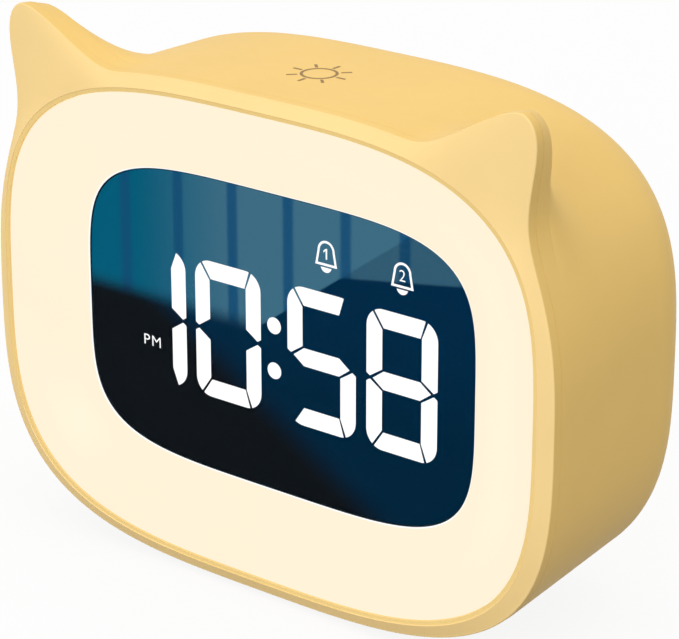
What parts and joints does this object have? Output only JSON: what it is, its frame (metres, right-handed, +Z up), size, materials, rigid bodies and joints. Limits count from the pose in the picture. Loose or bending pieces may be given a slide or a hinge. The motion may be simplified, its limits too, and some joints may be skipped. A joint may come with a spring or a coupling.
{
  "type": "kids alarm clock with night light",
  "caption": "Bedside digital alarm clock with cat ears: a rounded yellow housing, a glowing dished cream front as night light, a dark display with segment digits, and rear buttons.",
  "frame": {"origin": "on the table, under the middle of the overall box", "axes": "+X to the right of someone who looks at the front, +Y from the front to the back, +Z up"},
  "size_m": [0.1294, 0.0496, 0.1043],
  "materials": {
    "shell": "satin moulded plastic in butter yellow",
    "panel": "milky cream diffuser plastic",
    "lens": "dark polished acrylic",
    "rubber_dark": "black foam rubber",
    "reflector": "black moulded plastic",
    "segment_lit": "milky epoxy, lit white",
    "segment_dark": "milky epoxy, not lit",
    "board": "solder resist on glass epoxy",
    "board_white": "white solder resist",
    "lamp": "yellow phosphor",
    "lamp_white": "white lamp body",
    "frame_white": "natural moulded plastic",
    "screw": "zinc plated",
    "foot": "soft pale rubber",
    "chip": "black moulding compound",
    "can": "drawn can",
    "usb_steel": "nickel plated",
    "cell": "shrunk sleeve",
    "pad": "foam tape",
    "cone": "pressed paper",
    "basket": "black stamped steel",
    "magnet": "coated ferrite",
    "button": "satin moulded plastic",
    "knob": "fine ribbed plastic",
    "plunger": "moulded plastic"
  },
  "bodies": {
    "housing": {"front_bezel": "shell", "night_light_diffuser": "panel", "display_lens": "lens", "display_gasket": "rubber_dark", "display_reflector": "reflector", "lit_segments": "segment_lit", "unlit_segments": "segment_dark", "colon_dots": "segment_lit", "indicator_windows": "segment_lit", "display_board": "board", "display_leds": "lamp_white", "display_board_screws": "screw", "night_light_board": "board_white", "night_light_leds": "lamp", "inner_frame": "frame_white", "rear_housing": "shell", "housing_screws": "screw", "foot_front_left": "foot", "foot_front_right": "foot", "foot_rear_left": "foot", "foot_rear_right": "foot", "main_board": "board", "main_board_screws": "screw", "controller_chip": "chip", "audio_chip": "chip", "power_capacitor": "can", "clock_crystal": "can", "usb_shell": "usb_steel", "usb_tongue": "chip", "touch_sensor": "board", "battery_cell": "cell", "battery_pads": "pad", "speaker_gasket": "rubber_dark", "speaker_frame": "basket", "speaker_cone": "cone", "speaker_magnet": "magnet", "speaker_screws": "screw", "switch_case": "usb_steel", "tact_switch_1": "chip", "tact_switch_2": "chip", "tact_switch_3": "chip", "tact_switch_4": "chip"},
    "power_switch": {"switch_knob": "knob"},
    "button_1_body": {"button_1": "button", "plunger_1": "plunger"},
    "button_2_body": {"button_2": "button", "plunger_2": "plunger"},
    "button_3_body": {"button_3": "button", "plunger_3": "plunger"},
    "button_4_body": {"button_4": "button", "plunger_4": "plunger"}
  },
  "joints": [
    {"name": "button_1_press", "type": "slide", "parent": "housing", "child": "button_1_body", "axis": [0, -1, 0], "range_m": [0, 0.0008], "stiffness_N_per_m": 1500},
    {"name": "button_2_press", "type": "slide", "parent": "housing", "child": "button_2_body", "axis": [0, -1, 0], "range_m": [0, 0.0008], "stiffness_N_per_m": 1500},
    {"name": "button_3_press", "type": "slide", "parent": "housing", "child": "button_3_body", "axis": [0, -1, 0], "range_m": [0, 0.0008], "stiffness_N_per_m": 1500},
    {"name": "button_4_press", "type": "slide", "parent": "housing", "child": "button_4_body", "axis": [0, -1, 0], "range_m": [0, 0.0008], "stiffness_N_per_m": 1500},
    {"name": "power_slide", "type": "slide", "parent": "housing", "child": "power_switch", "axis": [1, 0, 0], "range_m": [0, 0.003]}
  ]
}
